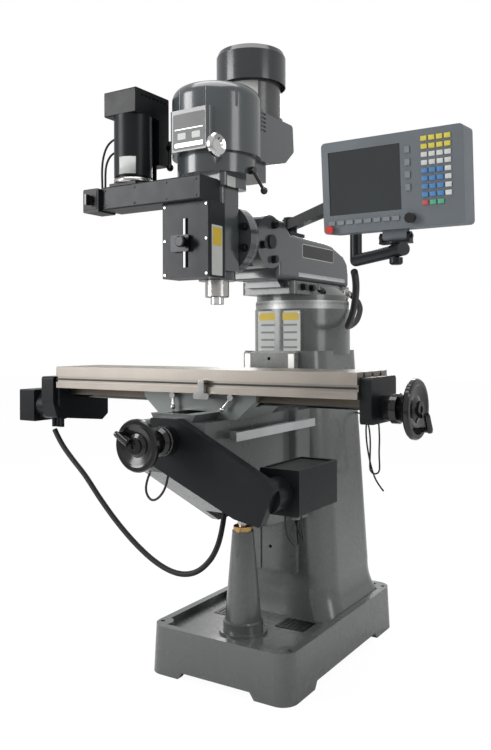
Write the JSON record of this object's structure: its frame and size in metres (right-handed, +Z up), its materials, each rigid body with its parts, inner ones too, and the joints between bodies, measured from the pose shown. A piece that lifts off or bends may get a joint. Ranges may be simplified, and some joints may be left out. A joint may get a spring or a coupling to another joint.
{
  "type": "knee-type vertical turret milling machine",
  "caption": "Upright knee mill: column and base, turret with ram, tilting powered head, knee, saddle and long T-slotted table, with a swing-arm control panel.",
  "frame": {"origin": "on the floor plane, at the centre of the base's four anchor holes", "axes": "+Z up, +X towards the operator's right, -Y towards the operator, so the column stands behind the table"},
  "size_m": [1.8525, 1.3815, 2.341],
  "materials": {
    "grey_paint": "painted",
    "dark_casting": "painted",
    "black_paint": "painted",
    "saddle_paint": "painted",
    "knee_paint": "painted",
    "ground_steel": "plain",
    "bright_steel": "plain",
    "black_steel": "plain",
    "bronze": "plain",
    "aluminium": "plain",
    "black_mesh": "painted",
    "cable_rubber": "plain",
    "panel_grey": "plain",
    "screen_glass": "plain",
    "key_plastic": "plain",
    "soft_key_plastic": "plain",
    "stop_red": "plain",
    "knob_black": "plain"
  },
  "bodies": {
    "frame": {"column_base": "grey_paint", "elevating_pedestal": "grey_paint", "elevating_nut": "bronze", "drain_screens": "black_mesh", "power_cord": "cable_rubber"},
    "turret": {"turret_degree_ring": "ground_steel", "turret": "grey_paint", "turret_bolts": "black_steel", "panel_loom": "cable_rubber"},
    "ram_pinion": {"ram_pinion": "bright_steel"},
    "ram": {"ram": "grey_paint", "nod_bolts": "black_steel", "arm_clamp": "black_paint"},
    "adapter": {"ram_adapter": "grey_paint"},
    "head": {"head_casting": "grey_paint", "tilt_bolts": "black_steel", "quill_drive_cover": "black_paint", "drive_beam": "black_paint", "quill_motor": "black_paint", "motor_control_box": "black_paint", "selector_box": "black_paint", "belt_housing": "dark_casting", "gear_housing": "dark_casting", "drive_motor": "dark_casting", "motor_cap": "black_paint", "head_cables": "cable_rubber"},
    "selector": {"selector_knob": "knob_black"},
    "quill": {"quill": "bright_steel", "quill_tab": "black_steel"},
    "spindle": {"spindle": "bright_steel"},
    "speed_wheel": {"speed_wheel": "bright_steel"},
    "brake": {"brake_lever": "bright_steel"},
    "range": {"range_lever": "bright_steel"},
    "arm": {"support_arm": "black_paint"},
    "panel_yoke": {"panel_bracket": "black_paint"},
    "panel": {"panel_housing": "panel_grey", "panel_screen": "screen_glass"},
    "keypad": {"keypad_keys": "key_plastic"},
    "soft_keys": {"soft_keys": "soft_key_plastic"},
    "stop": {"stop_button": "stop_red"},
    "jog": {"jog_knob": "knob_black"},
    "knee": {"knee": "knee_paint", "y_drive_housing": "black_paint", "y_motor": "black_paint", "y_scale": "aluminium", "knee_cables": "cable_rubber", "x_cable": "cable_rubber"},
    "elevating_screw": {"elevating_screw": "bright_steel"},
    "y_wheel": {"y_wheel": "black_steel"},
    "saddle": {"saddle": "saddle_paint", "table_stop": "bright_steel"},
    "left_lock": {"left_table_lock": "bright_steel"},
    "right_lock": {"right_table_lock": "bright_steel"},
    "table": {"table": "ground_steel", "table_brackets": "black_paint", "x_drive_housing": "black_paint", "x_motor": "black_paint"},
    "x_screw": {"x_screw": "black_steel"}
  },
  "joints": [
    {"name": "turret_swing", "type": "hinge", "parent": "frame", "child": "turret", "pos_m": [0, 0.2, 1.38], "axis": [0, 0, 1], "range_deg": [-180, 180]},
    {"name": "ram_slide", "type": "slide", "parent": "turret", "child": "ram", "axis": [0, -1, 0], "range_m": [-0.189, 0.116]},
    {"name": "ram_pinion_spin", "type": "hinge", "parent": "turret", "child": "ram_pinion", "pos_m": [0.1, 0.275, 1.432], "axis": [1, 0, 0], "range_deg": [-985, 605]},
    {"name": "head_nod", "type": "hinge", "parent": "ram", "child": "adapter", "pos_m": [0, -0.258, 1.602], "axis": [1, 0, 0], "range_deg": [-45, 45]},
    {"name": "head_tilt", "type": "hinge", "parent": "adapter", "child": "head", "pos_m": [0, -0.38, 1.602], "axis": [0, 1, 0], "range_deg": [-90, 40]},
    {"name": "quill_slide", "type": "slide", "parent": "head", "child": "quill", "axis": [0, 0, -1], "range_m": [-0.055, 0.072]},
    {"name": "spindle_spin", "type": "hinge", "parent": "quill", "child": "spindle", "pos_m": [0, -0.44, 1.4], "axis": [0, 0, 1], "continuous": true},
    {"name": "speed_wheel_turn", "type": "hinge", "parent": "head", "child": "speed_wheel", "pos_m": [0.084, -0.596, 1.888], "axis": [0.9848, -0.1736, 0], "range_deg": [-270, 270]},
    {"name": "brake_turn", "type": "hinge", "parent": "head", "child": "brake", "pos_m": [-0.163, -0.5, 1.935], "axis": [1, 0, 0], "range_deg": [-20, 20]},
    {"name": "range_turn", "type": "hinge", "parent": "head", "child": "range", "pos_m": [0.15, -0.44, 1.828], "axis": [1, 0, 0], "range_deg": [-35, 35]},
    {"name": "selector_turn", "type": "hinge", "parent": "head", "child": "selector", "pos_m": [-0.388, -0.68, 1.741], "axis": [0, 1, 0], "range_deg": [-45, 45]},
    {"name": "arm_swing", "type": "hinge", "parent": "ram", "child": "arm", "pos_m": [0.06, -0.016, 1.696], "axis": [0, 0, 1], "range_deg": [-10, 60]},
    {"name": "panel_swivel", "type": "hinge", "parent": "arm", "child": "panel_yoke", "pos_m": [0.755, -0.64, 1.5], "axis": [0, 0, 1], "range_deg": [-60, 60]},
    {"name": "panel_tilt", "type": "hinge", "parent": "panel_yoke", "child": "panel", "pos_m": [0.755, -0.64, 1.53], "axis": [1, 0, 0], "range_deg": [-15, 15]},
    {"name": "keypad_press", "type": "slide", "parent": "panel", "child": "keypad", "axis": [0, 0.9968, 0.0802], "range_m": [0, 0.0015], "stiffness_N_per_m": 400},
    {"name": "soft_key_press", "type": "slide", "parent": "panel", "child": "soft_keys", "axis": [0, 0.9968, 0.0802], "range_m": [0, 0.0015], "stiffness_N_per_m": 400},
    {"name": "stop_press", "type": "slide", "parent": "panel", "child": "stop", "axis": [0, 0.9968, 0.0802], "range_m": [0, 0.003], "stiffness_N_per_m": 400},
    {"name": "jog_turn", "type": "hinge", "parent": "panel", "child": "jog", "pos_m": [0.8138, -0.67553, 1.57374], "axis": [0, 0.9968, 0.0802], "continuous": true},
    {"name": "knee_slide", "type": "slide", "parent": "frame", "child": "knee", "axis": [0, 0, 1], "range_m": [-0.246, 0.16]},
    {"name": "elevating_screw_spin", "type": "hinge", "parent": "knee", "child": "elevating_screw", "pos_m": [0, -0.275, 0.6], "axis": [0, 0, 1], "range_deg": [-17440, 11345]},
    {"name": "y_wheel_spin", "type": "hinge", "parent": "knee", "child": "y_wheel", "pos_m": [0, -0.8, 0.913], "axis": [0, 1, 0], "range_deg": [-9725, 12245]},
    {"name": "saddle_slide", "type": "slide", "parent": "knee", "child": "saddle", "axis": [0, 1, 0], "range_m": [-0.135, 0.17]},
    {"name": "left_lock_turn", "type": "hinge", "parent": "saddle", "child": "left_lock", "pos_m": [-0.092, -0.578, 1.048], "axis": [0, 1, 0], "range_deg": [-25, 25]},
    {"name": "right_lock_turn", "type": "hinge", "parent": "saddle", "child": "right_lock", "pos_m": [0.15, -0.578, 1.048], "axis": [0, 1, 0], "range_deg": [-25, 25]},
    {"name": "table_slide", "type": "slide", "parent": "saddle", "child": "table", "axis": [1, 0, 0], "range_m": [-0.381, 0.381]},
    {"name": "x_screw_spin", "type": "hinge", "parent": "table", "child": "x_screw", "pos_m": [0.7, -0.5015, 1.03], "axis": [1, 0, 0], "range_deg": [-27440, 27440]}
  ],
  "couplings": [
    {"joint": "ram_pinion_spin", "follows": "ram_slide", "rad_per_m": 90.909},
    {"joint": "elevating_screw_spin", "follows": "knee_slide", "rad_per_m": 1236.8},
    {"joint": "y_wheel_spin", "follows": "saddle_slide", "rad_per_m": 1256.6},
    {"joint": "x_screw_spin", "follows": "table_slide", "rad_per_m": 1256.6}
  ]
}
